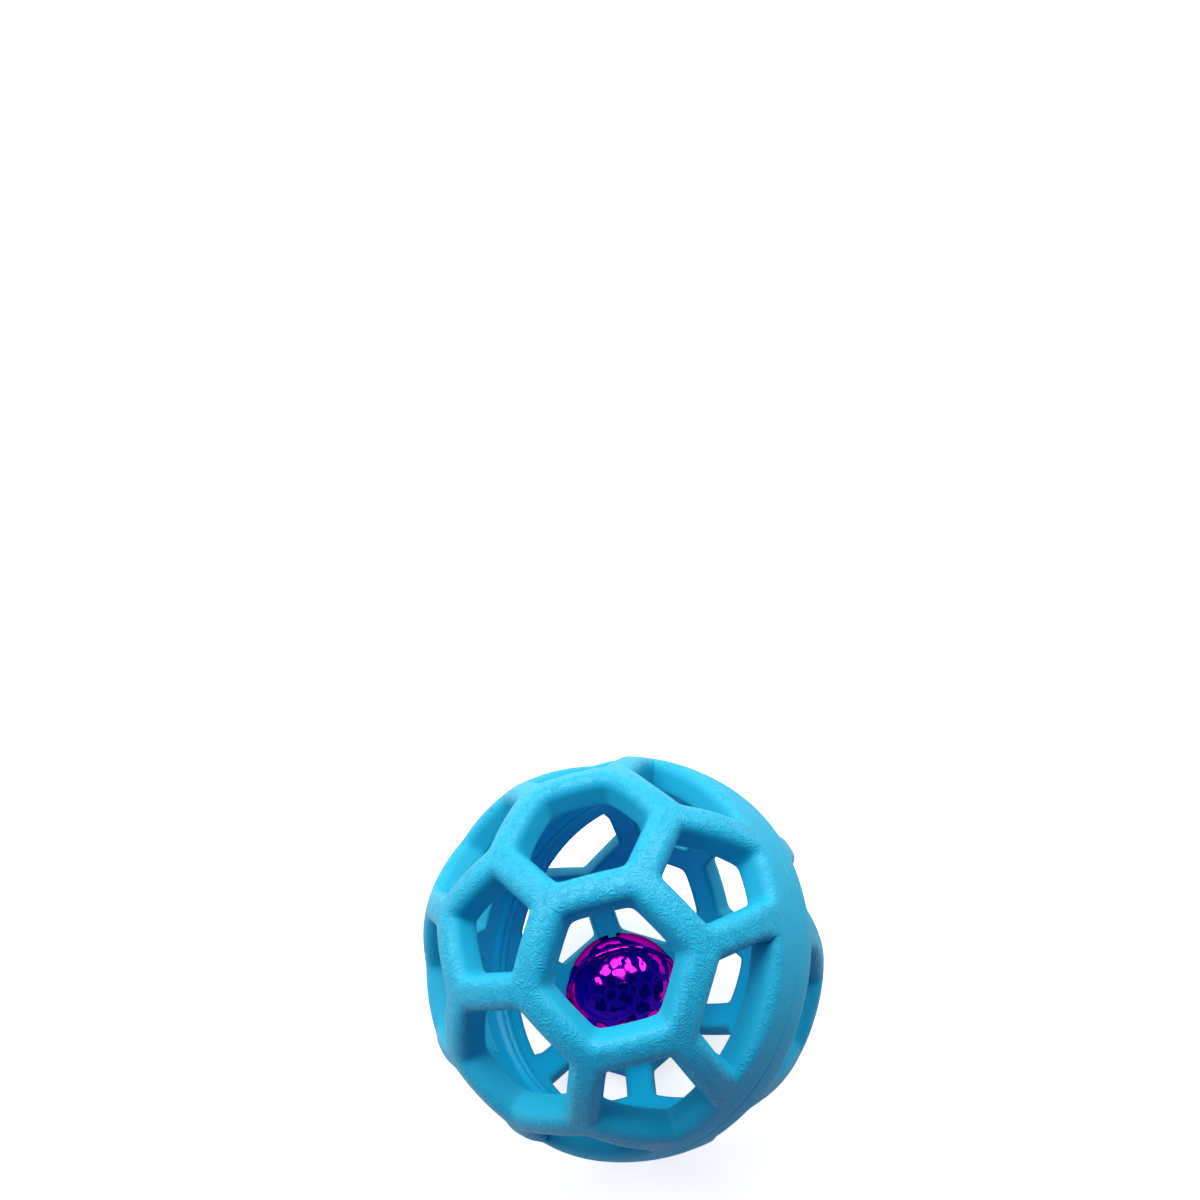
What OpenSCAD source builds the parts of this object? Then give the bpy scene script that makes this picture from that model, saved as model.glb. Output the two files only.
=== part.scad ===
// Lattice dog ball with a loose jingle bell inside it.
// Two alike rubber half shells are bonded along a solid belt. Each half is a net of struts with
// one five-sided opening at its pole, five six-sided ones round that, and ten along the belt.
// The ball lies on the rim of a six-sided opening, and the bell lies over that opening.

/* [Ball] */
// Outside diameter of the ball
ball_d = 75; // [70:1:78]
// Thickness of the rubber wall
wall_t = 5.6; // [5:0.1:6.5]
// Width of a strut, measured on the outside
strut_w = 6.4; // [5.6:0.1:7]
// Reach of the rounding along the outer edges of a strut, towards its middle
round_w = 2.6; // [1.4:0.1:2.7]
// Depth of that rounding
round_h = 2.4; // [1:0.1:3.5]
// Corner radius of an opening
corner_r = 2.2; // [1.2:0.1:3.5]

/* [Belt] */
// Width of the solid belt, both halves together
belt_w = 13; // [12:0.5:15]
// Depth of the moulding line round the belt
seam_groove = 0.4; // [0.1:0.1:0.8]
// Height of the flash ridge inside each half
ridge_h = 0.8; // [0.4:0.1:1.2]

/* [Bell] */
// Outside diameter of the bell
bell_d = 23; // [22:0.5:25]
// Thickness of the bell's sheet metal
bell_t = 0.5; // [0.4:0.05:0.7]
// Thickness of the crimp bead that joins the two cups
bead_d = 1.24; // [1.2:0.02:1.5]
// Width of the sound slots
slot_w = 1.7; // [1.2:0.1:2.4]
// Diameter of the round ends of the slots
slot_end_d = 3.6; // [2.8:0.1:4.2]
// Angle from the bell's foot to the round ends of the slots
slot_reach = 56; // [45:1:62]
// Angle by which the bell's crown leans from upright as it lies
bell_lean = 64; // [50:1:75]

/* [Hanger and pellet] */
// Wire diameter of the hanger
wire_d = 1; // [0.8:0.1:1.2]
// Diameter of the hanger's eye at the middle of its wire
eye_d = 4; // [3.5:0.1:5]
// Diameter of the pellet that rings the bell
pellet_d = 5; // [4.5:0.1:7]

/* [Hidden] */

rubber_colour = [0.08, 0.64, 0.85];
bell_colour = [0.78, 0.10, 0.72];
steel_colour = [0.72, 0.72, 0.74];

// The net of struts: corners at a third of each edge of an icosahedron with one corner at the pole
ball_r = ball_d / 2;
inner_r = ball_r - wall_t;
pole = [0, 0, 1];
sector = 72;
ring_tilt = atan(2);

function unit(v) = v / norm(v);
function polar(tilt, turn) = [sin(tilt) * cos(turn), sin(tilt) * sin(turn), cos(tilt)];
function angle_between(a, b) = acos(min(1, unit(a) * unit(b)));
function high_corner(k) = polar(ring_tilt, sector * k);
function low_corner(k) = polar(180 - ring_tilt, sector * (k + 0.5));
function third(a, b) = unit(2 * a + b);
function net_pole(k) = third(pole, high_corner(k));
function net_apex(k) = third(high_corner(k), pole);
function net_side(k, way) = third(high_corner(k), high_corner(k + way));
function net_foot(k, way) = third(high_corner(k), low_corner(way > 0 ? k : k - 1));

// The belt, as angles above the equator; the openings' cells end half way down it
function arc_angle(length, radius) = length / radius * 180 / PI;
belt_edge = arc_angle(belt_w / 2, ball_r);
cell_edge = belt_edge / 2;
foot_turn = atan2(net_foot(0, 1).y, net_foot(0, 1).x);
short_belt_steps = 4;
long_belt_steps = 6;

function belt_point(turn, height) = polar(90 - height, turn);
function belt_turns(from, to, steps) = [for (i = [0:steps - 1]) from + (to - from) * i / steps];
function short_turns(k) = belt_turns(sector * k - foot_turn, sector * k + foot_turn, short_belt_steps);
function long_turns(k) = belt_turns(sector * k + foot_turn, sector * (k + 1) - foot_turn, long_belt_steps);

// A cell is one opening and the rubber round it, out to the middle of each strut.
// It holds its outline, its centre, and the edges of its opening as circles on the sphere.
strut_cuts = [0, 0.1, 0.26, 0.5, 0.74, 0.9];
strut_edge = arc_angle(strut_w / 2, ball_r);

function strut_points(a, b) = [for (t = strut_cuts) unit((1 - t) * a + t * b)];
function strut_circle(a, b) = [unit(cross(a, b)), sin(strut_edge)];
function run_points(run) = [for (i = [0:len(run) - 2]) each strut_points(run[i], run[i + 1])];
function run_circles(run) = [for (i = [0:len(run) - 2]) strut_circle(run[i], run[i + 1])];
function middle(points) = unit([for (axis = [0:2]) [for (p = points) p[axis]] * [for (p = points) 1]]);

function closed_cell(ring) =
  let (run = concat(ring, [ring[0]]))
  [run_points(run), middle(ring), run_circles(run)];

function belt_cell(run, turns) =
  let (edge = [for (turn = turns) belt_point(turn, cell_edge)])
  [
    concat(run_points(run), [run[len(run) - 1]], edge),
    middle(run),
    concat(run_circles(run), [[pole, sin(belt_edge)]])
  ];

function pole_cell() = closed_cell([for (k = [0:4]) net_pole(k)]);
function six_sided_cell(k) = closed_cell([
  net_pole(k), net_apex(k), net_side(k, 1), net_side(k + 1, -1), net_apex(k + 1), net_pole(k + 1)
]);

// Along the belt the outline runs foot, over the top, to the other foot, and back beside the belt
function five_sided_cell(k) = belt_cell(
  [net_foot(k, 1), net_side(k, 1), net_apex(k), net_side(k, -1), net_foot(k, -1)],
  concat(short_turns(k), [sector * k + foot_turn])
);
function cut_cell(k) = belt_cell(
  [net_foot(k + 1, -1), net_side(k + 1, -1), net_side(k, 1), net_foot(k, 1)],
  concat(long_turns(k), [sector * (k + 1) - foot_turn])
);

cells = concat(
  [pole_cell()],
  [for (k = [0:4]) six_sided_cell(k)],
  [for (k = [0:4]) five_sided_cell(k)],
  [for (k = [0:4]) cut_cell(k)]
);

// An opening's outline: from its centre, the nearest edge, rounded where two edges are as near
six_centre = middle([for (k = [0, 1]) net_pole(k), for (k = [0, 1]) net_apex(k), net_side(0, 1), net_side(1, -1)]);
rim_tilt = angle_between(net_pole(0) + net_apex(0), six_centre) - strut_edge;
opening_r = ball_r * tan(rim_tilt) / cos(30);
corner_loss = corner_r * (1 / cos(30) - 1) / opening_r;
corner_power = -ln(2) / ln(1 - corner_loss);
far_away = 100;

function circle_reach(centre, ray, ring) =
  let (
    a = ray * ring[0],
    b = centre * ring[0],
    h = ring[1]
  )
  a < -h ? (-a * b - h * sqrt(a * a + b * b - h * h)) / (a * a - h * h) : far_away;

function opening_point(cell, outside) =
  let (
    centre = cell[1],
    ray = unit(outside - centre * (outside * centre)),
    nearness = [for (ring = cell[2]) pow(circle_reach(centre, ray, ring), -corner_power)],
    reach = pow(nearness * [for (n = nearness) 1], -1 / corner_power)
  )
  unit(centre + reach * ray);

// Rows of points run from the outline over the rounded edge, down the opening's wall and back inside
round_steps = [0, 30, 60, 90];
snap_per_mm = 100000;
cell_rows = len(round_steps) + 3;

function snapped(p) = [for (x = p) round(x * snap_per_mm) / snap_per_mm];

function cell_row(cell, row) = [
  for (outside = cell[0])
    let (
      edge = opening_point(cell, outside),
      land = ball_r * angle_between(outside, edge) * PI / 180,
      turn = round_steps[min(max(row, 1), len(round_steps)) - 1],
      back = round_w * (1 - sin(turn)) / land,
      outer = ball_r - round_h * (1 - cos(turn)),
      along = unit((1 - back) * edge + back * outside)
    )
    row == 0 ? snapped(ball_r * outside)
    : row == cell_rows - 1 ? snapped(inner_r * outside)
    : row == cell_rows - 2 ? snapped(inner_r * edge)
    : snapped(outer * along)
];

function cell_points(cell) = [for (row = [0:cell_rows - 1]) each cell_row(cell, row)];

// The belt's strip: height above the equator and radius of each row, from outside to inside
groove_w = 0.5;
ridge_top_w = 0.8;
ridge_foot_w = 1.6;
ridge_line = 0.3;
belt_rows = [
  [cell_edge, ball_r],
  [arc_angle(groove_w, ball_r), ball_r],
  [0, ball_r - seam_groove],
  [0, inner_r - ridge_line],
  [arc_angle(groove_w, inner_r), inner_r - ridge_h],
  [arc_angle(ridge_top_w + groove_w, inner_r), inner_r - ridge_h],
  [arc_angle(ridge_foot_w + groove_w, inner_r), inner_r],
  [cell_edge, inner_r]
];
strip_turns = [for (k = [0:4]) each concat(short_turns(k), long_turns(k))];
strip_points = [
  for (row = belt_rows)
    for (turn = strip_turns)
      snapped(row[1] * belt_point(turn, row[0]))
];

// Triangles between the rows of one ring, clockwise seen from outside the rubber
function ring_faces(first, count, rows) = [
  for (row = [0:rows - 2])
    for (i = [0:count - 1])
      let (
        a = first + row * count + i,
        b = first + row * count + (i + 1) % count,
        c = a + count,
        d = b + count
      )
      each [[a, b, d], [a, d, c]]
];
function turned_over(faces) = [for (f = faces) [f[0], f[2], f[1]]];

cell_counts = [for (cell = cells) len(cell[0])];
cell_starts = [
  for (i = 0, start = 0; i < len(cells); start = start + cell_rows * cell_counts[i], i = i + 1) start
];
strip_start = cell_rows * (cell_counts * [for (count = cell_counts) 1]);

net_points = concat([for (cell = cells) each cell_points(cell)], strip_points);
net_faces = concat(
  [for (i = [0:len(cells) - 1]) each turned_over(ring_faces(cell_starts[i], cell_counts[i], cell_rows))],
  ring_faces(strip_start, len(strip_turns), len(belt_rows))
);

// How the ball lies: tipped until a six-sided opening of the lower half faces straight down
lie_tilt = angle_between(six_centre, pole);
function rim_drop(turn) =
  (ball_r - round_h * (1 - cos(turn))) * cos(rim_tilt + arc_angle(round_w, ball_r) * (1 - sin(turn)));
ball_z = max([for (turn = round_steps) rim_drop(turn)]);

// The bell lies with its crimp bead a hair above the rim of that opening. The bead's tilted ring
// crosses the rim away from the middles of its sides, so the bell sits a little lower than the bead
bell_r = bell_d / 2;
bell_inner_r = bell_r - bell_t;
bead_ring_r = bell_r + 0.05;
bead_r = bead_ring_r + bead_d / 2;
seat_r = bead_r - 0.1;
rim_r = inner_r * sin(rim_tilt);
bell_z = ball_z - inner_r * cos(rim_tilt) + sqrt(pow(seat_r, 2) - pow(rim_r, 2));

// The crown cup's flange is held in the slotted cup's bead
flange_t = 0.4;
flange_r = bell_r + 0.4;
crimp_gap = 0.03;

// The hanger is one bent wire: its tails are staked in the crown, their feet bend out under it,
// and above it they flare out into the eye
crown_hole_r = wire_d;
tail_x = 0.55 * wire_d;
elbow_r = 0.6 * wire_d;
foot_z = bell_inner_r - 0.95 * wire_d;
foot_length = 1.2 * wire_d;
eye_r = eye_d / 2;
eye_z = bell_r + eye_r + 0.8 * wire_d;
flare_r = 1.2 * wire_d;
flare_z = eye_z - sqrt(pow(eye_r + flare_r, 2) - pow(tail_x + flare_r, 2));
flare_turn = acos((tail_x + flare_r) / (eye_r + flare_r));
wire_facets = 12;

function bend(at, radius, from, to, steps) = [
  for (i = [1:steps])
    let (turn = from + (to - from) * i / steps)
    at + radius * [cos(turn), sin(turn)]
];

half_wire = concat(
  [[tail_x + elbow_r + foot_length, foot_z], [tail_x + elbow_r, foot_z]],
  bend([tail_x + elbow_r, foot_z + elbow_r], elbow_r, 270, 180, 4),
  [[tail_x, flare_z]],
  bend([tail_x + flare_r, flare_z], flare_r, 180, 180 - flare_turn, 4),
  bend([0, eye_z], eye_r, -flare_turn, 90, 12)
);
wire_line = concat(half_wire, [for (i = [len(half_wire) - 2:-1:0]) [-half_wire[i].x, half_wire[i].y]]);
wire_last = len(wire_line) - 1;

wire_points = [
  for (i = [0:wire_last])
    let (
      at = wire_line[i],
      along = unit(wire_line[min(i + 1, wire_last)] - wire_line[max(i - 1, 0)])
    )
    for (j = [0:wire_facets - 1])
      let (
        turn = 360 * j / wire_facets,
        out = wire_d / 2 * cos(turn)
      )
      [at.x + out * along.y, wire_d / 2 * sin(turn), at.y - out * along.x]
];
wire_faces = concat(
  turned_over(ring_faces(0, wire_facets, len(wire_line))),
  [
    [for (j = [0:wire_facets - 1]) j],
    [for (j = [wire_facets - 1:-1:0]) wire_facets * wire_last + j]
  ]
);

pellet_gap = 0.15;
pellet_drop = bell_inner_r - pellet_d / 2 - pellet_gap;
past = 1;
round_facets = 64;

module ball_place() {
  translate([0, 0, ball_z])
    rotate([0, -lie_tilt, 0])
      children();
}

module bell_place() {
  translate([0, 0, bell_z])
    rotate([bell_lean, 0, 0])
      children();
}

module half_net() {
  polyhedron(points = net_points, faces = net_faces);
}

module upper_half_shell() {
  color(rubber_colour)
    ball_place()
      half_net();
}

module lower_half_shell() {
  color(rubber_colour)
    ball_place()
      mirror([0, 0, 1])
        half_net();
}

// Everything above a height, for cutting
module above(height) {
  translate([-bell_d, -bell_d, height])
    cube(2 * bell_d);
}

// Everything below a height, for cutting
module below(height) {
  translate([-bell_d, -bell_d, height - 2 * bell_d])
    cube(2 * bell_d);
}

module bell_crown_cup() {
  color(bell_colour)
    bell_place()
      difference() {
        union() {
          difference() {
            sphere(bell_r, $fn = round_facets);
            below(-flange_t / 2);
          }
          translate([0, 0, -flange_t / 2])
            cylinder(h = flange_t, r = flange_r, $fn = round_facets);
        }
        sphere(bell_inner_r, $fn = round_facets);
        cylinder(h = bell_d, r = crown_hole_r, $fn = round_facets);
      }
}

// One sound slot across the foot, with a round hole at each end
module sound_slot() {
  slot_l = 2 * bell_r * sin(slot_reach);
  slot_top = -bell_inner_r * cos(slot_reach) + past;
  translate([-slot_l / 2, -slot_w / 2, -bell_r - past])
    cube([slot_l, slot_w, bell_r + past + slot_top]);
  for (way = [-1, 1])
    rotate([0, way * (180 - slot_reach), 0])
      translate([0, 0, bell_inner_r / 2])
        cylinder(h = bell_r, d = slot_end_d, $fn = round_facets);
}

module bell_slotted_cup() {
  color(bell_colour)
    bell_place()
      difference() {
        union() {
          difference() {
            sphere(bell_r, $fn = round_facets);
            above(-flange_t / 2);
          }
          rotate_extrude($fn = round_facets)
            translate([bead_ring_r, 0])
              circle(d = bead_d, $fn = round_facets);
        }
        sphere(bell_inner_r, $fn = round_facets);
        difference() {
          sphere(bell_r + crimp_gap, $fn = round_facets);
          below(-flange_t / 2);
        }
        translate([0, 0, -flange_t / 2])
          cylinder(h = flange_t + crimp_gap, r = flange_r + crimp_gap, $fn = round_facets);
        for (turn = [0, 90])
          rotate([0, 0, turn])
            sound_slot();
      }
}

module bell_hanger() {
  color(bell_colour)
    bell_place()
      polyhedron(points = wire_points, faces = wire_faces);
}

module bell_pellet() {
  color(steel_colour)
    translate([0, 0, bell_z - pellet_drop])
      sphere(d = pellet_d, $fn = round_facets);
}

upper_half_shell();
lower_half_shell();
bell_crown_cup();
bell_slotted_cup();
bell_hanger();
bell_pellet();
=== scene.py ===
"""Looks of a blue lattice dog ball with a loose magenta jingle bell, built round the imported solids."""
import math

import bmesh
import bpy
import numpy as np
from mathutils import Matrix, Vector


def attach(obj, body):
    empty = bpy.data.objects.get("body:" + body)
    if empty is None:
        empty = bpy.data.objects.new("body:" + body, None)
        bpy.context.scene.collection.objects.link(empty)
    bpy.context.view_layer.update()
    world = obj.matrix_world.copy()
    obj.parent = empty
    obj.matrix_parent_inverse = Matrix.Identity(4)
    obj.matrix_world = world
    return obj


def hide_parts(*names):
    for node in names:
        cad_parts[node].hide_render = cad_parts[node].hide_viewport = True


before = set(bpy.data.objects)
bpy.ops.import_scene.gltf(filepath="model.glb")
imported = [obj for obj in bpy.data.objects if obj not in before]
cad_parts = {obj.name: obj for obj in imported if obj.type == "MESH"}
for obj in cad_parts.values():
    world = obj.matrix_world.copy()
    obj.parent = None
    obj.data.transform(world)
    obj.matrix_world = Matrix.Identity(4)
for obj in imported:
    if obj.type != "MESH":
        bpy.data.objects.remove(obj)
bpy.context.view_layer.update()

MM = 0.001

# The ball's measures in millimetres, the same as in the part's source
BALL_R = 37.5
WALL_T = 5.6
INNER_R = BALL_R - WALL_T
STRUT_W = 6.4
ROUND_W = 2.6
ROUND_H = 2.4
CORNER_R = 2.2
BELT_W = 13.0
RIDGE_H = 0.8
SEAM_GROOVE = 0.4

# The bell's measures in millimetres, the same as in the part's source
BELL_R = 11.5
BELL_T = 0.5
BELL_INNER_R = BELL_R - BELL_T
BEAD_D = 1.24
BEAD_RING_R = BELL_R + 0.05
SEAT_R = BEAD_RING_R + BEAD_D / 2 - 0.1
FLANGE_T = 0.4
FLANGE_R = BELL_R + 0.4
CRIMP_GAP = 0.03
SLOT_W = 1.7
SLOT_END_D = 3.6
SLOT_REACH = math.radians(56)
BELL_LEAN = math.radians(64)

# The hanger's wire in millimetres, the same as in the part's source
WIRE_D = 1.0
CROWN_HOLE_R = WIRE_D
TAIL_X = 0.55 * WIRE_D
ELBOW_R = 0.6 * WIRE_D
FOOT_LENGTH = 1.2 * WIRE_D
FOOT_Z = BELL_INNER_R - 0.95 * WIRE_D
FLARE_R = 1.2 * WIRE_D
EYE_R = 2.0
EYE_Z = BELL_R + EYE_R + 0.8 * WIRE_D

# How finely the meshes are divided
STRUT_STEPS = 26
SHORT_BELT_STEPS = 22
LONG_BELT_STEPS = 34
SPHERE_STEPS = 48
TURN_STEPS = 192
BEAD_STEPS = 40
SLOT_END_STEPS = 72
ELBOW_STEPS = 9
FLARE_STEPS = 12
EYE_STEPS = 40
WIRE_SIDES = 28

# Edges between faces that meet at more than these angles stay sharp
SHARP_ANGLE = math.radians(50)
CUP_SHARP_ANGLE = math.radians(35)


def unit(v):
    v = np.asarray(v, float)
    return v / np.linalg.norm(v, axis=-1, keepdims=True)


def polar(tilt, turn):
    """A direction by its tilt from the pole and its turn about it."""
    tilt, turn = np.broadcast_arrays(np.asarray(tilt, float), np.asarray(turn, float))
    return np.stack([np.sin(tilt) * np.cos(turn), np.sin(tilt) * np.sin(turn), np.cos(tilt)], -1)


def arc(centre, radius, start, end, steps):
    return [
        (centre[0] + radius * math.cos(t), centre[1] + radius * math.sin(t))
        for t in np.linspace(start, end, steps)
    ]


def add_object(name, data):
    """An object in the scene for a mesh, camera or lamp."""
    made = bpy.data.objects.new(name, data)
    bpy.context.scene.collection.objects.link(made)
    return made


def add_mesh(name, points, faces):
    """An object in the scene for a mesh of these points, in metres, and faces."""
    mesh = bpy.data.meshes.new(name)
    mesh.from_pydata(points, [], faces)
    return add_object(name, mesh)


def outward(mesh):
    """Turns a closed mesh's faces outward."""
    shape = bmesh.new()
    shape.from_mesh(mesh)
    bmesh.ops.recalc_face_normals(shape, faces=shape.faces)
    shape.to_mesh(mesh)
    shape.free()


def smooth(mesh, sharp_angle):
    mesh.polygons.foreach_set("use_smooth", [True] * len(mesh.polygons))
    mesh.set_sharp_from_angle(angle=sharp_angle)


# The net: corners at a third of each edge of an icosahedron with one corner at the pole
SECTOR = math.radians(72)
RING_TILT = math.atan(2)
POLE = np.array([0.0, 0.0, 1.0])
STRUT_EDGE = STRUT_W / 2 / BALL_R
BELT_EDGE = BELT_W / 2 / BALL_R
CELL_EDGE = BELT_EDGE / 2


def high_corner(k):
    return polar(RING_TILT, SECTOR * k)


def low_corner(k):
    return polar(math.pi - RING_TILT, SECTOR * (k + 0.5))


def third(a, b):
    return unit(2 * a + b)


def net_pole(k):
    return third(POLE, high_corner(k))


def net_apex(k):
    return third(high_corner(k), POLE)


def net_side(k, way):
    return third(high_corner(k), high_corner(k + way))


def net_foot(k, way):
    return third(high_corner(k), low_corner(k if way > 0 else k - 1))


def six_ring(k):
    """The corners of a six-sided opening beside the one at the pole."""
    return [net_pole(k), net_apex(k), net_side(k, 1), net_side(k + 1, -1), net_apex(k + 1), net_pole(k + 1)]


FOOT_TURN = math.atan2(net_foot(0, 1)[1], net_foot(0, 1)[0])


def belt_turns(start, end, steps):
    return start + (end - start) * np.arange(steps) / steps


def short_turns(k):
    return belt_turns(SECTOR * k - FOOT_TURN, SECTOR * k + FOOT_TURN, SHORT_BELT_STEPS)


def long_turns(k):
    return belt_turns(SECTOR * k + FOOT_TURN, SECTOR * (k + 1) - FOOT_TURN, LONG_BELT_STEPS)


def strut_points(a, b):
    t = np.arange(STRUT_STEPS)[:, None] / STRUT_STEPS
    return unit((1 - t) * a + t * b)


def run_points(run):
    return np.concatenate([strut_points(a, b) for a, b in zip(run, run[1:])])


def run_circles(run):
    return [(unit(np.cross(a, b)), math.sin(STRUT_EDGE)) for a, b in zip(run, run[1:])]


def closed_cell(ring):
    """One opening and the rubber round it to the middle of each strut: outline, centre and edge circles."""
    run = ring + ring[:1]
    return run_points(run), unit(np.sum(ring, 0)), run_circles(run)


def belt_cell(run, turns):
    """The same for an opening that stands on the belt."""
    edge = polar(math.pi / 2 - CELL_EDGE, turns)
    outline = np.concatenate([run_points(run), run[-1][None], edge])
    return outline, unit(np.sum(run, 0)), run_circles(run) + [(POLE, math.sin(BELT_EDGE))]


def all_cells():
    """The 16 cells of one half: at the pole, round it, and two kinds along the belt."""
    cells = [closed_cell([net_pole(k) for k in range(5)])]
    for k in range(5):
        cells.append(closed_cell(six_ring(k)))
    for k in range(5):
        run = [net_foot(k, 1), net_side(k, 1), net_apex(k), net_side(k, -1), net_foot(k, -1)]
        cells.append(belt_cell(run, np.append(short_turns(k), SECTOR * k + FOOT_TURN)))
    for k in range(5):
        run = [net_foot(k + 1, -1), net_side(k + 1, -1), net_side(k, 1), net_foot(k, 1)]
        cells.append(belt_cell(run, np.append(long_turns(k), SECTOR * (k + 1) - FOOT_TURN)))
    return cells


# The power that rounds a six-sided opening's corners to their radius, used for every opening,
# and the reach of a ray that misses one of an opening's edges
SIX_CENTRE = unit(np.sum(six_ring(0), 0))
RIM_TILT = math.acos(unit(net_pole(0) + net_apex(0)) @ SIX_CENTRE) - STRUT_EDGE
OPENING_R = BALL_R * math.tan(RIM_TILT) / math.cos(math.pi / 6)
CORNER_POWER = -math.log(2) / math.log(1 - CORNER_R * (1 / math.cos(math.pi / 6) - 1) / OPENING_R)
MISSED_REACH = 100.0


def opening_points(cell):
    """The edge of a cell's opening, one point for each point of its outline."""
    outline, centre, circles = cell
    ray = unit(outline - centre * (outline @ centre)[:, None])
    total = np.zeros(len(outline))
    for normal, height in circles:
        a, b = ray @ normal, float(centre @ normal)
        reach = np.full(len(a), MISSED_REACH)
        hit = a < -height
        root = np.sqrt(a[hit] ** 2 + b * b - height * height)
        reach[hit] = (-a[hit] * b - height * root) / (a[hit] ** 2 - height * height)
        total += reach ** -CORNER_POWER
    return unit(centre + (total ** (-1 / CORNER_POWER))[:, None] * ray)


# How the ball lies on the rim of an opening, and the bell over it, worked out as in the part's source
LIE_TILT = math.acos(SIX_CENTRE @ POLE)
CAD_ROUND_STEPS = np.radians([0, 30, 60, 90])
RIM_RADII = BALL_R - ROUND_H * (1 - np.cos(CAD_ROUND_STEPS))
RIM_TILTS = RIM_TILT + ROUND_W / BALL_R * (1 - np.sin(CAD_ROUND_STEPS))
BALL_Z = float(np.max(RIM_RADII * np.cos(RIM_TILTS)))
RIM_R = INNER_R * math.sin(RIM_TILT)
BELL_Z = BALL_Z - INNER_R * math.cos(RIM_TILT) + math.sqrt(SEAT_R ** 2 - RIM_R ** 2)
BALL_PLACE = Matrix.Translation((0, 0, BALL_Z * MM)) @ Matrix.Rotation(-LIE_TILT, 4, "Y")
BELL_PLACE = Matrix.Translation((0, 0, BELL_Z * MM)) @ Matrix.Rotation(BELL_LEAN, 4, "X")

# A half shell's section round an opening: over the outer edge, down the wall, round the inner edge, and back
OVER_THE_EDGE = np.radians([0, 10, 20, 29, 38, 46, 54, 61, 68, 74, 80, 85, 90])
WALL_SHARES = [0.35, 0.7]
INNER_EDGE_R = 0.55
INNER_EDGE_STEPS = np.radians([0, 30, 60, 90])
INNER_FACE_SHARES = [0.3, 0.65, 1.0]

# The side of the rubber that a point is on, for the material
OUTER_SIDE = 1.0
SEAM_SIDE = 0.5
WALL_SIDE = 0.0
INNER_SIDE = -1.0

# The belt's outer section: height above its middle, dip, and how far the moulding line's flash fills that up
SEAM_SECTION = [
    (2.4, 0.0, 0.0),
    (1.3, 0.0, 0.0),
    (0.75, 0.01, 0.0),
    (0.45, 0.03, 0.03),
    (0.26, 0.06, 0.07),
    (0.1, 0.09, 0.08),
]
GROOVE_DIP = 0.75 * SEAM_GROOVE
GROOVE_FILL = 0.5 * SEAM_GROOVE

# The belt's inner section: height above its middle, and share of the ridge's height
RIDGE_SECTION = [
    (0.0, 0.375),
    (0.2, 0.6875),
    (0.45, 0.925),
    (0.7, 1.0),
    (1.05, 1.0),
    (1.35, 0.875),
    (1.65, 0.5),
    (1.95, 0.125),
    (2.3, 0.0),
]

# The flash's waves round the belt: their number, where they start, and their size
FLASH_WAVES = [(7, 0.4, 1.0), (19, 2.1, 0.7), (43, 1.3, 0.5)]

# Points of neighbouring cells that are nearer than this, in metres, become one
MERGE_DISTANCE = 2e-6


def cell_rows(cell):
    """Rows of points from a cell's outline over the edge, down the wall and back inside, and their sides."""
    outline = cell[0]
    edge = opening_points(cell)
    land = BALL_R * np.arccos(np.clip(np.sum(outline * edge, 1), -1, 1))
    ones = np.ones(len(outline))
    wall_top, wall_foot = BALL_R - ROUND_H, INNER_R + INNER_EDGE_R
    rows, sides = [], []

    def add_row(distance, radius, side):
        share = np.clip(distance / land, 0, 1)[:, None]
        rows.append(unit((1 - share) * edge + share * outline) * np.reshape(radius * ones, (-1, 1)))
        sides.append(side * ones)

    for turn in OVER_THE_EDGE:
        distance = land * (1 - math.sin(turn))
        slope = np.arcsin(np.clip(1 - distance / ROUND_W, 0, 1))
        add_row(distance, BALL_R - ROUND_H * (1 - np.cos(slope)), OUTER_SIDE * np.cos(slope))
    for share in WALL_SHARES:
        add_row(0, wall_top + (wall_foot - wall_top) * share, WALL_SIDE)
    for turn in INNER_EDGE_STEPS:
        add_row(INNER_EDGE_R * (1 - math.cos(turn)), wall_foot - INNER_EDGE_R * math.sin(turn), WALL_SIDE)
    for share in INNER_FACE_SHARES:
        add_row(INNER_EDGE_R + (land - INNER_EDGE_R) * share, INNER_R, INNER_SIDE)
    return rows, sides


def flash_height(turns):
    """The uneven height of the flash along the moulding line, from 0 to 1."""
    wave = sum(size * np.sin(count * turns + start) for count, start, size in FLASH_WAVES)
    return 0.5 + wave / (2 * sum(size for _, _, size in FLASH_WAVES))


def belt_rows():
    """Rows of points from the belt's outer edge over the moulding line to its inner edge, and their sides."""
    turns = np.concatenate([np.concatenate([short_turns(k), long_turns(k)]) for k in range(5)])
    ones = np.ones(len(turns))
    flash = flash_height(turns)
    rows, sides = [], []

    def add_row(lift, radius, side):
        rows.append(polar(math.pi / 2 - lift, turns) * np.reshape(radius * ones, (-1, 1)))
        sides.append(side * ones)

    add_row(CELL_EDGE, BALL_R, OUTER_SIDE)
    for height, dip, fill in SEAM_SECTION:
        add_row(height / BALL_R, BALL_R - dip + fill * flash, OUTER_SIDE)
    add_row(0, BALL_R - GROOVE_DIP + GROOVE_FILL * flash, SEAM_SIDE)
    for height, share in RIDGE_SECTION:
        add_row(height / INNER_R, INNER_R - RIDGE_H * share, INNER_SIDE)
    add_row(CELL_EDGE, INNER_R, INNER_SIDE)
    return rows, sides


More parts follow.
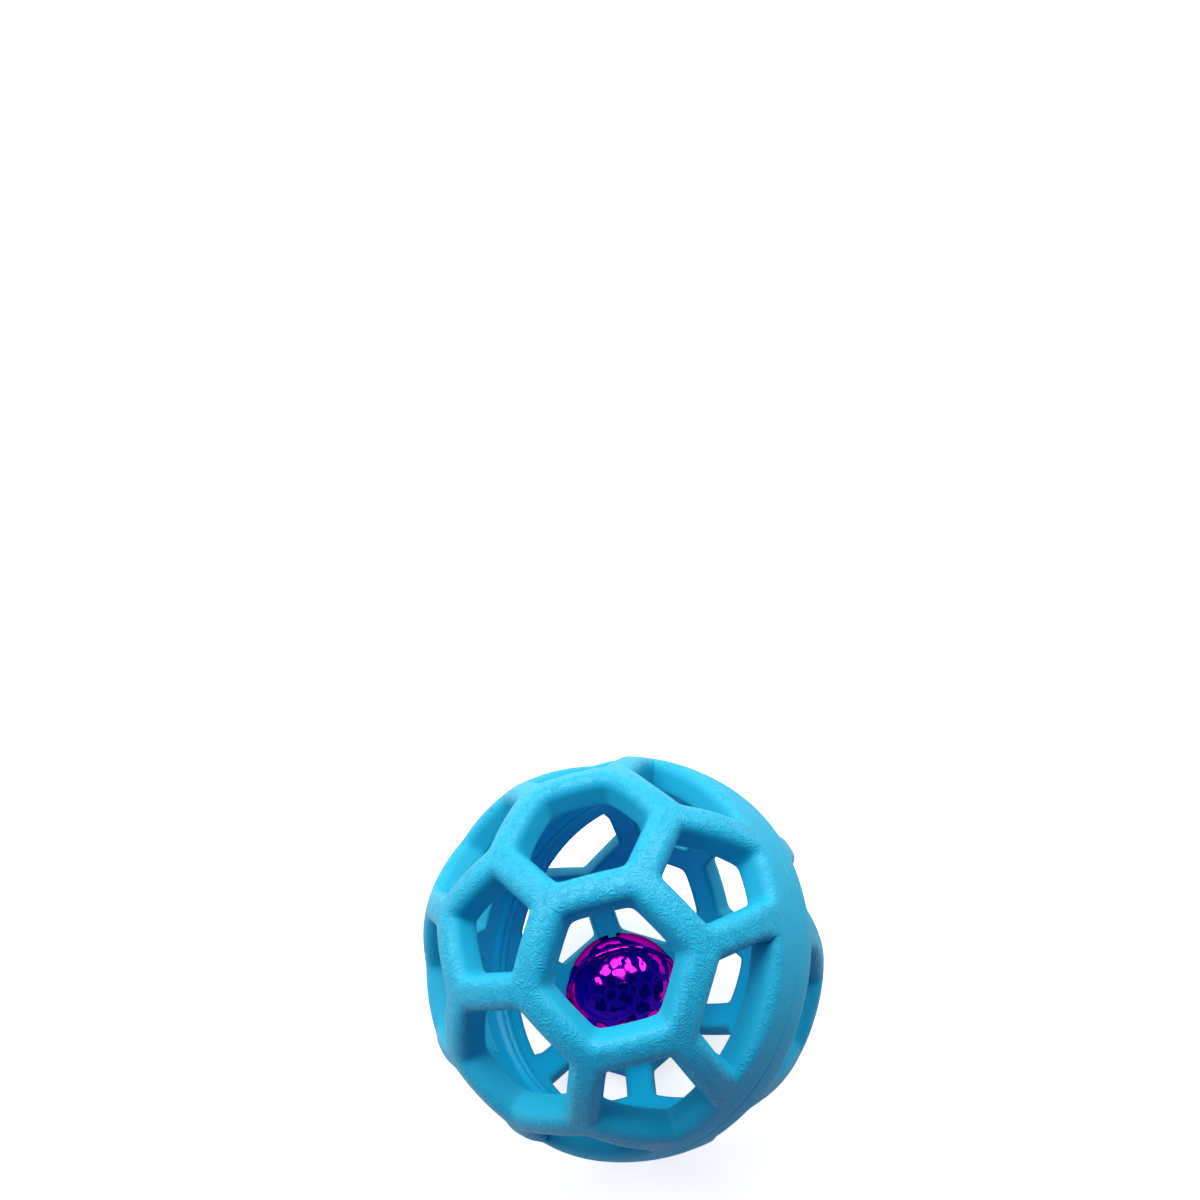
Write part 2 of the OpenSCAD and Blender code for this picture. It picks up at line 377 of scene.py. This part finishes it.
def half_shell(name, mirrored):
    """One moulded half; its points also carry their side and their height from the belt's middle."""
    points, sides, faces = [], [], []
    start = 0
    for rows, row_sides in [cell_rows(cell) for cell in all_cells()] + [belt_rows()]:
        count = len(rows[0])
        points += rows
        sides += row_sides
        for row in range(len(rows) - 1):
            first = start + row * count
            for i in range(count):
                j = (i + 1) % count
                faces.append((first + i, first + j, first + count + j, first + count + i))
        start += count * len(rows)
    points = np.concatenate(points)
    if mirrored:
        points = points * np.array([1, 1, -1])
    piece = add_mesh(name, (points * MM).tolist(), faces)
    mesh = piece.data
    for key, values in (("outer_face", np.concatenate(sides)), ("belt_height", np.abs(points[:, 2]))):
        attribute = mesh.attributes.new(key, "FLOAT", "POINT")
        attribute.data.foreach_set("value", values.astype(np.float32))
    shape = bmesh.new()
    shape.from_mesh(mesh)
    bmesh.ops.remove_doubles(shape, verts=shape.verts, dist=MERGE_DISTANCE)
    bmesh.ops.recalc_face_normals(shape, faces=shape.faces)
    bmesh.ops.transform(shape, matrix=BALL_PLACE, verts=shape.verts)
    shape.to_mesh(mesh)
    shape.free()
    smooth(mesh, SHARP_ANGLE)
    return piece


# The ends of the slotted cup's arcs: its foot, its edge under the bead, and the bead's two ends
CUP_FOOT = math.radians(-89.2)
CUP_TOP = math.radians(-3.2)
BEAD_START = math.radians(-88)
BEAD_END = math.radians(170)

# How far the slots' cutters reach past the sheet, and how near a sphere a point is on it, in millimetres
CUT_MARGIN = 1.0
ON_SPHERE = 0.004


def lathe(name, profile):
    """A closed profile of (radius, height) points, turned about the bell's axis."""
    count = len(profile)
    points, faces = [], []
    for turn in 2 * math.pi * np.arange(TURN_STEPS) / TURN_STEPS:
        points += [(r * math.cos(turn) * MM, r * math.sin(turn) * MM, z * MM) for r, z in profile]
    for i in range(TURN_STEPS):
        here, there = i * count, (i + 1) % TURN_STEPS * count
        for j in range(count):
            k = (j + 1) % count
            faces.append((here + j, here + k, there + k, there + j))
    piece = add_mesh(name, points, faces)
    outward(piece.data)
    return piece


def sphere_normals(mesh):
    """Sheet metal's normals: exact on its two spheres, flat on its cut edges, smooth on the bead."""
    places = np.zeros(len(mesh.vertices) * 3, np.float32)
    mesh.vertices.foreach_get("co", places)
    places = places.reshape(-1, 3) / MM - np.array([0, 0, BELL_Z])
    radius = np.linalg.norm(places, axis=1)
    smooth(mesh, CUP_SHARP_ANGLE)
    normals = np.array([n.vector for n in mesh.corner_normals])
    for face in mesh.polygons:
        reach = radius[list(face.vertices)]
        if np.all(abs(reach - BELL_R) < ON_SPHERE):
            sign = 1
        elif np.all(abs(reach - BELL_INNER_R) < ON_SPHERE):
            sign = -1
        else:
            continue
        for loop in face.loop_indices:
            normals[loop] = sign * unit(places[mesh.loops[loop].vertex_index])
    mesh.normals_split_custom_set(normals.tolist())


def crown_cup():
    """The plain cup: a half sphere with the hanger's hole in its crown and a flat flange."""
    hole = math.asin(CROWN_HOLE_R / BELL_R)
    hole_in = math.asin(CROWN_HOLE_R / BELL_INNER_R)
    low = math.asin(FLANGE_T / 2 / BELL_R)
    low_in = math.asin(FLANGE_T / 2 / BELL_INNER_R)
    profile = arc((0, 0), BELL_R, math.pi / 2 - hole, low, SPHERE_STEPS)
    profile += [(FLANGE_R, FLANGE_T / 2), (FLANGE_R, -FLANGE_T / 2)]
    profile += arc((0, 0), BELL_INNER_R, -low_in, math.pi / 2 - hole_in, SPHERE_STEPS)
    piece = lathe("bell_crown_cup_bright", profile)
    piece.data.transform(BELL_PLACE)
    sphere_normals(piece.data)
    return piece


def slot_cutters():
    """Two crossed slots and the round holes at their ends, as solids to cut with."""
    length = 2 * BELL_R * math.sin(SLOT_REACH)
    top = -BELL_INNER_R * math.cos(SLOT_REACH) + CUT_MARGIN
    low = -BELL_R - CUT_MARGIN
    middle = Matrix.Translation((0, 0, (top + low) / 2 * MM))
    size = Matrix.Diagonal((length * MM, SLOT_W * MM, (top - low) * MM, 1))
    end_r = SLOT_END_D / 2 * MM
    out = Matrix.Translation((0, 0, BELL_R * MM))
    cutters = []

    def add_cutter(make, **values):
        shape = bmesh.new()
        make(shape, **values)
        mesh = bpy.data.meshes.new(f"slot_cutter_{len(cutters)}")
        shape.to_mesh(mesh)
        shape.free()
        cutters.append(add_object(mesh.name, mesh))

    for turn in (0, math.pi / 2):
        spin = Matrix.Rotation(turn, 4, "Z")
        add_cutter(bmesh.ops.create_cube, size=1, matrix=spin @ middle @ size)
        for way in (-1, 1):
            lean = Matrix.Rotation(way * (math.pi - SLOT_REACH), 4, "Y")
            add_cutter(
                bmesh.ops.create_cone, cap_ends=True, segments=SLOT_END_STEPS,
                radius1=end_r, radius2=end_r, depth=BELL_R * MM, matrix=spin @ lean @ out,
            )
    return cutters


def slotted_cup():
    """The cup with the slots, its rim rolled over the other cup's flange as a bead."""
    pocket = FLANGE_R + CRIMP_GAP
    low_in = math.asin(FLANGE_T / 2 / BELL_INNER_R)
    profile = arc((0, 0), BELL_R, CUP_FOOT, CUP_TOP, SPHERE_STEPS)
    profile += arc((BEAD_RING_R, 0), BEAD_D / 2, BEAD_START, BEAD_END, BEAD_STEPS)
    profile += [
        (BELL_R + CRIMP_GAP, FLANGE_T / 2 + CRIMP_GAP),
        (pocket, FLANGE_T / 2 + CRIMP_GAP),
        (pocket, -FLANGE_T / 2),
    ]
    profile += arc((0, 0), BELL_INNER_R, -low_in, CUP_FOOT, SPHERE_STEPS)
    piece = lathe("bell_slotted_cup_bright", profile)
    cutters = slot_cutters()
    for cutter in cutters:
        cut = piece.modifiers.new("slot", "BOOLEAN")
        cut.object = cutter
        cut.operation = "DIFFERENCE"
        cut.solver = "EXACT"
    depsgraph = bpy.context.evaluated_depsgraph_get()
    piece.data = bpy.data.meshes.new_from_object(piece.evaluated_get(depsgraph))
    piece.modifiers.clear()
    for cutter in cutters:
        bpy.data.objects.remove(cutter)
    piece.data.transform(BELL_PLACE)
    sphere_normals(piece.data)
    return piece


def hanger():
    """One bent wire: feet under the crown, tails through it, and the eye above it."""
    flare_z = EYE_Z - math.sqrt((EYE_R + FLARE_R) ** 2 - (TAIL_X + FLARE_R) ** 2)
    flare_turn = math.acos((TAIL_X + FLARE_R) / (EYE_R + FLARE_R))
    side = [(TAIL_X + ELBOW_R + FOOT_LENGTH, FOOT_Z), (TAIL_X + ELBOW_R + FOOT_LENGTH / 2, FOOT_Z)]
    side += arc((TAIL_X + ELBOW_R, FOOT_Z + ELBOW_R), ELBOW_R, 1.5 * math.pi, math.pi, ELBOW_STEPS)
    side += arc((TAIL_X + FLARE_R, flare_z), FLARE_R, math.pi, math.pi - flare_turn, FLARE_STEPS)
    side += arc((0, EYE_Z), EYE_R, -flare_turn, math.pi / 2, EYE_STEPS)[1:]
    line = np.array(side + [(-x, z) for x, z in side[-2::-1]])
    along = unit(np.gradient(line, axis=0))
    points, faces = [], []
    for (x, z), (dx, dz) in zip(line, along):
        for j in range(WIRE_SIDES):
            t = 2 * math.pi * j / WIRE_SIDES
            out = WIRE_D / 2 * math.cos(t)
            points.append(((x + out * dz) * MM, WIRE_D / 2 * math.sin(t) * MM, (z - out * dx) * MM))
    for i in range(len(line) - 1):
        for j in range(WIRE_SIDES):
            a, b = i * WIRE_SIDES + j, i * WIRE_SIDES + (j + 1) % WIRE_SIDES
            faces.append((a, b, b + WIRE_SIDES, a + WIRE_SIDES))
    faces.append(tuple(range(WIRE_SIDES)))
    faces.append(tuple(range((len(line) - 1) * WIRE_SIDES, len(line) * WIRE_SIDES)))
    piece = add_mesh("bell_hanger_bright", points, faces)
    outward(piece.data)
    piece.data.transform(BELL_PLACE)
    smooth(piece.data, SHARP_ANGLE)
    return piece


class Nodes:
    """Short names for making the nodes of a material or a world."""

    def __init__(self, owner):
        owner.use_nodes = True
        self.owner = owner
        self.tree = owner.node_tree

    @property
    def shader(self):
        return next(n for n in self.tree.nodes if n.type == "BSDF_PRINCIPLED")

    @property
    def place(self):
        """The object's own coordinates, in metres."""
        return self.add("ShaderNodeTexCoord").outputs["Object"]

    def add(self, kind, **values):
        node = self.tree.nodes.new(kind)
        for key, value in values.items():
            setattr(node, key, value)
        return node

    def feed(self, node, values):
        """Sets each socket to a number or colour, or joins another node's socket to it."""
        for key, value in values.items():
            if isinstance(value, (int, float, tuple)):
                node.inputs[key].default_value = value
            else:
                self.tree.links.new(value, node.inputs[key])

    def attribute(self, name):
        return self.add("ShaderNodeAttribute", attribute_name=name).outputs["Fac"]

    def noise(self, scale, detail=2.0, rough=0.5, distortion=0.0):
        node = self.add("ShaderNodeTexNoise")
        self.feed(node, {
            "Vector": self.place,
            "Scale": scale,
            "Detail": detail,
            "Roughness": rough,
            "Distortion": distortion,
        })
        return node.outputs["Fac"]

    def math(self, operation, *values):
        node = self.add("ShaderNodeMath", operation=operation)
        self.feed(node, dict(enumerate(values)))
        return node.outputs[0]

    def ramp(self, value, start, end, first=0.0, last=1.0, kind="SMOOTHSTEP"):
        """Goes from the first level to the last as the value goes from start to end."""
        node = self.add("ShaderNodeMapRange", interpolation_type=kind)
        self.feed(node, {"Value": value, "From Min": start, "From Max": end, "To Min": first, "To Max": last})
        return node.outputs["Result"]

    def mix(self, share, a, b, kind="RGBA"):
        """Mixes two colours or, where the kind is FLOAT, two numbers."""
        node = self.add("ShaderNodeMix", data_type=kind)
        ending = "Color" if kind == "RGBA" else "Float"
        index = {socket.identifier: i for i, socket in enumerate(node.inputs)}
        self.feed(node, {index["Factor_Float"]: share, index["A_" + ending]: a, index["B_" + ending]: b})
        return next(socket for socket in node.outputs if socket.identifier == "Result_" + ending)

    def bump(self, height, distance, strength=1.0, after=None):
        """The normal of a bump, on top of another bump's normal where that is given."""
        node = self.add("ShaderNodeBump")
        self.feed(node, {"Height": height, "Distance": distance, "Strength": strength})
        if after is not None:
            self.feed(node, {"Normal": after})
        return node.outputs["Normal"]


# The rubber's colours, as linear values: two of a kind are mixed in clouds. The one rubber gets different
# blues by side: painted shade on the openings' walls, painted light on the inside, and a painted whitish
# sheen on the outer faces
# Deeper blues on the openings' walls: painted shade
WALL_SHADE_BLUES = [(0.001, 0.44, 0.66, 1), (0.002, 0.47, 0.70, 1)]
# The outer faces' blues: the rubber's own colour, with more red as a painted whitish sheen
OUTER_SHEEN_BLUES = [(0.014, 0.50, 0.75, 1), (0.020, 0.53, 0.79, 1)]
# A brighter blue on the inside: painted light
INNER_LIT_BLUE = (0.001, 0.58, 0.88, 1)
PATCH_BLUE = (0.028, 0.55, 0.81, 1)
PINHOLE_BLUE = (0.002, 0.13, 0.22, 1)
PINHOLE_SHARE = 0.75

# The crinkle: its depth and that of the finer grain, in metres, and how close its level lines are
CRINKLE_DEPTH = 0.000078
FINE_DEPTH = 0.00001
LEVEL_LINES = 50.0

# Heights from the belt's middle, in millimetres, between which the crinkle grows from faint to full
FAINT_BELOW = 2.5
FULL_ABOVE = 6.5
BELT_CRINKLE = 0.25

# How much less rough the crinkled faces, the inner faces and the crinkle's own ridges are
CRINKLED_GLOSS = 0.22
INNER_GLOSS = 0.30
GRAIN_GLOSS = 0.08


def rubber():
    """Blue rubber: crinkled and pinholed outside, and plain in the openings and inside, with painted shade on
    the openings' walls, painted light on the inside and a painted sheen on the outer faces.
    """
    m = Nodes(bpy.data.materials.new("blue_rubber"))
    side = m.attribute("outer_face")
    outside = m.ramp(side, start=0.3, end=0.85)
    inside = m.ramp(side, start=-0.3, end=-0.9)
    cloud = m.noise(scale=240)
    # The walls darker as painted shade and the inside lighter as painted light
    wall_shade_and_inside_light = m.mix(inside, m.mix(cloud, *WALL_SHADE_BLUES), INNER_LIT_BLUE)
    # The outer faces paler, partly as a painted sheen
    colour = m.mix(outside, wall_shade_and_inside_light, m.mix(cloud, *OUTER_SHEEN_BLUES))
    patch = m.ramp(m.noise(scale=55, detail=3), start=0.35, end=0.7, last=0.35)
    colour = m.mix(patch, colour, PATCH_BLUE)
    # A few dark pinholes from the mould
    cells = m.add("ShaderNodeTexVoronoi")
    m.feed(cells, {"Scale": 130, "Vector": m.place})
    spot = m.ramp(cells.outputs["Distance"], start=0.012, end=0.022, first=1.0, last=0.0)
    rare = m.ramp(cells.outputs["Color"], start=0.60, end=0.62)
    pinhole = m.math("MULTIPLY", m.math("MULTIPLY", spot, rare), outside)
    colour = m.mix(m.math("MULTIPLY", pinhole, PINHOLE_SHARE), colour, PINHOLE_BLUE)
    # Fine moulded crinkle: level lines of a noise, broken up by another, and faint on the belt
    belt = m.ramp(m.attribute("belt_height"), FAINT_BELOW, FULL_ABOVE, first=BELT_CRINKLE)
    crinkled = m.math("MULTIPLY", outside, belt)
    field = m.noise(scale=560, detail=1.0, distortion=0.6)
    lines = m.ramp(m.math("SINE", m.math("MULTIPLY", field, LEVEL_LINES)), start=-0.5, end=1.0)
    breaks = m.ramp(m.noise(scale=950, detail=1.0, distortion=0.3), start=0.30, end=0.60, first=0.25)
    grain = m.math("MULTIPLY", m.math("MULTIPLY", lines, breaks), crinkled)
    fine = m.noise(scale=3200)
    normal = m.bump(fine, FINE_DEPTH, strength=0.4, after=m.bump(grain, CRINKLE_DEPTH))
    rough = m.ramp(fine, start=0.3, end=0.7, first=0.60, last=0.70)
    for share, gloss in ((crinkled, CRINKLED_GLOSS), (inside, INNER_GLOSS), (grain, GRAIN_GLOSS)):
        rough = m.math("MULTIPLY_ADD", share, -gloss, rough)
    m.feed(m.shader, {
        "Base Color": colour,
        "Normal": normal,
        "Roughness": rough,
        "Specular IOR Level": 0.36,
        "Subsurface Weight": 0.12,
        "Subsurface Radius": (0.5, 1.0, 1.0),
        "Subsurface Scale": 0.002,
    })
    return m.owner


# The bell's colours, as linear values: two mixed in clouds, and the tint of its edge
BELL_MAGENTAS = [(0.54, 0.010, 0.45, 1), (0.48, 0.008, 0.50, 1)]
BELL_EDGE = (0.24, 0.012, 0.22, 1)

# Depths of the marks in the metal, in metres
DENT_DEPTH = 0.0009
SCRATCH_DEPTH = 0.000004
PELLET_DEPTH = 0.00003


def bell_metal():
    """Magenta plated sheet metal, bright, with shallow dents and faint scratches."""
    m = Nodes(bpy.data.materials.new("magenta_bell_metal"))
    tone = m.ramp(m.noise(scale=160), start=0.3, end=0.7)
    rough = m.ramp(m.noise(scale=700, detail=3, rough=0.6), start=0.3, end=0.75, first=0.035, last=0.11)
    dents = m.bump(m.noise(scale=210, rough=0.55), DENT_DEPTH, strength=0.45)
    scratches = m.noise(scale=2600, rough=0.6, distortion=1.5)
    normal = m.bump(scratches, SCRATCH_DEPTH, strength=0.4, after=dents)
    m.feed(m.shader, {
        "Base Color": m.mix(tone, *BELL_MAGENTAS),
        "Specular Tint": BELL_EDGE,
        "Metallic": 1.0,
        "Roughness": rough,
        "Normal": normal,
    })
    return m.owner


def srgb(red, green, blue):
    """A colour written as 0 to 255, as Blender's linear values."""
    def linear(x):
        x = x / 255
        return x / 12.92 if x <= 0.04045 else ((x + 0.055) / 1.055) ** 2.4
    return (linear(red), linear(green), linear(blue), 1.0)


def pellet_steel():
    """Dull tumbled steel."""
    m = Nodes(bpy.data.materials.new("tumbled_pellet_steel"))
    tone = m.noise(scale=900, detail=3)
    colour = m.mix(tone, srgb(150, 150, 152), srgb(205, 205, 208))
    rough = m.ramp(tone, start=0.3, end=0.7, first=0.22, last=0.42)
    normal = m.bump(m.noise(scale=1800), PELLET_DEPTH, strength=0.5)
    m.feed(m.shader, {"Base Color": colour, "Metallic": 1.0, "Roughness": rough, "Normal": normal})
    return m.owner


def paint(piece, material):
    piece.data.materials.clear()
    piece.data.materials.append(material)


def dress(piece, material, body, slot, *nodes):
    """Puts a finished piece on its body, in the place of its solids."""
    paint(piece, material)
    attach(piece, body)
    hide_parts(*nodes)


# The camera: pixels of the photograph's frame, and the view's own axes
FRAME_PX = 1200
FOCAL_PX = 1066
BALL_PX = (621, 955)
SHIFT_Y = 0.2
SENSOR_W = 36
CLIP_START = 0.01
VIEW_RIGHT = Vector((0.9763, -0.2152, -0.0215)).normalized()
VIEW_BACK = Vector((-0.0457, -0.3021, 0.9522))
VIEW_DISTANCE = 5.4 * BALL_R * MM


def turned(a, b, angle):
    """Two axes of the view, turned by an angle in their plane."""
    return a * math.cos(angle) - b * math.sin(angle), b * math.cos(angle) + a * math.sin(angle)


def photo_camera():
    """The photograph's view of the ball, which is low in the frame."""
    data = bpy.data.cameras.new("camera")
    data.sensor_width = SENSOR_W
    data.lens = FOCAL_PX / FRAME_PX * SENSOR_W
    data.shift_y = SHIFT_Y
    data.clip_start = CLIP_START
    right = VIEW_RIGHT
    back = (VIEW_BACK - right * VIEW_BACK.dot(right)).normalized()
    up = back.cross(right)
    place = Vector((0, 0, BALL_Z * MM)) + back * VIEW_DISTANCE
    # The view turns until the ball's centre is at its pixel
    pitch = math.atan2(BALL_PX[1] - FRAME_PX / 2 - SHIFT_Y * FRAME_PX, FOCAL_PX)
    yaw = math.atan2(BALL_PX[0] - FRAME_PX / 2, FOCAL_PX)
    back, up = turned(back, up, pitch)
    right, back = turned(right, back, yaw)
    camera = add_object("camera", data)
    camera.matrix_world = Matrix((
        (right.x, up.x, back.x, place.x),
        (right.y, up.y, back.y, place.y),
        (right.z, up.z, back.z, place.z),
        (0, 0, 0, 1),
    ))
    bpy.context.scene.camera = camera


# The lamp above and behind the object, in metres
LAMP_PLACE = Vector((-0.04, 0.34, 0.66))
LAMP_TARGET = Vector((0, 0, 0.035))
LAMP_WIDTH = 1.7
LAMP_DEPTH = 0.36
LAMP_WATTS = 9.3

# The dome of cards round the object: its radius in metres, its steps and rises in degrees, and its colours
CARD_R = 1.2
CARD_STEP = 10
HIGH_CARD = [0, 15, 30, 45, 60, 75, 85]
LOW_CARD = [0, 15, 25, 35]
SHADE_BLUE = 0.3
MIRRORED_BLUE = 0.52
CARD_RED = 0.002
CARD_GREEN_SHARE = 0.1

# The floor in metres, its glow near the object, the share that metal mirrors in front, and the sky's light
FLOOR_R = 4.0
FLOOR_STEPS = 64
FLOOR_GREY = (0.62, 0.62, 0.62, 1)
NEAR_GLOW = 0.75
FRONT_MIRRORED = 0.14
SKY_LIGHT = 0.44


def key_lamp():
    data = bpy.data.lights.new("key_lamp", "AREA")
    data.shape = "RECTANGLE"
    data.size = LAMP_WIDTH
    data.size_y = LAMP_DEPTH
    data.energy = LAMP_WATTS
    lamp = add_object("key_lamp", data)
    lamp.location = LAMP_PLACE
    lamp.rotation_euler = (LAMP_TARGET - LAMP_PLACE).to_track_quat("-Z", "Y").to_euler()


def stage_sheet(name, corners, faces):
    sheet = add_mesh(name, corners, faces)
    return sheet


def dark_card(name, start, end, rises, blue, mirrored):
    """Part of a dark dome round the object, for the bell to mirror or to keep the sky's light off."""
    turns = np.radians(np.arange(start, end + CARD_STEP, CARD_STEP))
    rises = np.radians(rises)
    corners = [tuple(CARD_R * polar(math.pi / 2 - rise, turn)) for rise in rises for turn in turns]
    across = len(turns)
    faces = [
        (i * across + j, i * across + j + 1, (i + 1) * across + j + 1, (i + 1) * across + j)
        for i in range(len(rises) - 1) for j in range(across - 1)
    ]
    card = stage_sheet(name, corners, faces)
    card.visible_camera = False
    card.visible_glossy = mirrored
    card.visible_diffuse = not mirrored
    card.visible_shadow = not mirrored
    m = Nodes(bpy.data.materials.new(name))
    colour = (CARD_RED, CARD_GREEN_SHARE * blue, blue, 1)
    m.feed(m.shader, {"Base Color": colour, "Specular IOR Level": 0.0})
    paint(card, m.owner)


def ray_strength(m, plain, seen, mirrored):
    """One strength for plain light, one for what is seen, and one for what metal mirrors."""
    path = m.add("ShaderNodeLightPath").outputs
    strength = m.mix(path["Is Glossy Ray"], plain, mirrored, "FLOAT")
    for kind in ("Is Transmission Ray", "Is Camera Ray"):
        strength = m.mix(path[kind], strength, seen, "FLOAT")
    return strength


def pale_floor():
    """A floor that keeps the object's shadow and reads as white."""
    turns = 2 * math.pi * np.arange(FLOOR_STEPS) / FLOOR_STEPS
    ring = [(FLOOR_R * math.cos(t), FLOOR_R * math.sin(t), 0) for t in turns]
    m = Nodes(bpy.data.materials.new("pale_floor"))
    m.tree.nodes.clear()
    diffuse = m.add("ShaderNodeBsdfDiffuse")
    m.feed(diffuse, {"Color": FLOOR_GREY})
    # Further out, the floor takes less of the lamp's light and glows more
    reach = m.add("ShaderNodeVectorMath", operation="LENGTH")
    m.feed(reach, {0: m.place})
    level = m.ramp(reach.outputs["Value"], start=0.2, end=0.8, first=NEAR_GLOW, kind="LINEAR")
    # What metal mirrors of it is white behind the object and dim before it
    split = m.add("ShaderNodeSeparateXYZ")
    m.feed(split, {0: m.place})
    mirrored = m.ramp(split.outputs["Y"], start=0.1, end=0.2, first=FRONT_MIRRORED, kind="LINEAR")
    glow = m.add("ShaderNodeEmission")
    m.feed(glow, {"Strength": m.math("MULTIPLY", level, ray_strength(m, 0.0, 1.0, mirrored))})
    both = m.add("ShaderNodeAddShader")
    m.feed(both, {0: diffuse.outputs[0], 1: glow.outputs[0]})
    m.feed(m.add("ShaderNodeOutputMaterial"), {"Surface": both.outputs[0]})
    paint(stage_sheet("floor", ring, [tuple(range(FLOOR_STEPS))]), m.owner)


def pale_sky():
    """White where it is seen or mirrored, and a plain soft light elsewhere."""
    world = bpy.data.worlds.new("studio")
    bpy.context.scene.world = world
    m = Nodes(world)
    m.tree.nodes.clear()
    sky = m.add("ShaderNodeBackground")
    m.feed(sky, {"Color": (1, 1, 1, 1), "Strength": ray_strength(m, SKY_LIGHT, 1.0, 1.0)})
    m.feed(m.add("ShaderNodeOutputWorld"), {"Surface": sky.outputs[0]})


rubber_material = rubber()
for half, mirrored in (("upper_half_shell", False), ("lower_half_shell", True)):
    dress(half_shell(half + "_moulded", mirrored), rubber_material, "ball", "rubber", half)

bell_material = bell_metal()
for make, node in (
    (crown_cup, "bell_crown_cup"),
    (slotted_cup, "bell_slotted_cup"),
    (hanger, "bell_hanger"),
):
    dress(make(), bell_material, "bell", "bell_metal", node)

paint(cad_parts["bell_pellet"], pellet_steel())

photo_camera()
key_lamp()

# Each card stands between two turns in degrees from the X axis
dark_card("shade_card", 190, 350, HIGH_CARD, SHADE_BLUE, mirrored=False)
dark_card("front_card", 190, 350, HIGH_CARD, MIRRORED_BLUE, mirrored=True)
dark_card("side_card_left", 130, 190, HIGH_CARD, MIRRORED_BLUE, mirrored=True)
dark_card("side_card_right", -10, 50, HIGH_CARD, MIRRORED_BLUE, mirrored=True)
dark_card("low_card_back", 50, 130, LOW_CARD, MIRRORED_BLUE, mirrored=True)
pale_floor()
pale_sky()
bpy.context.scene.view_settings.view_transform = "Standard"
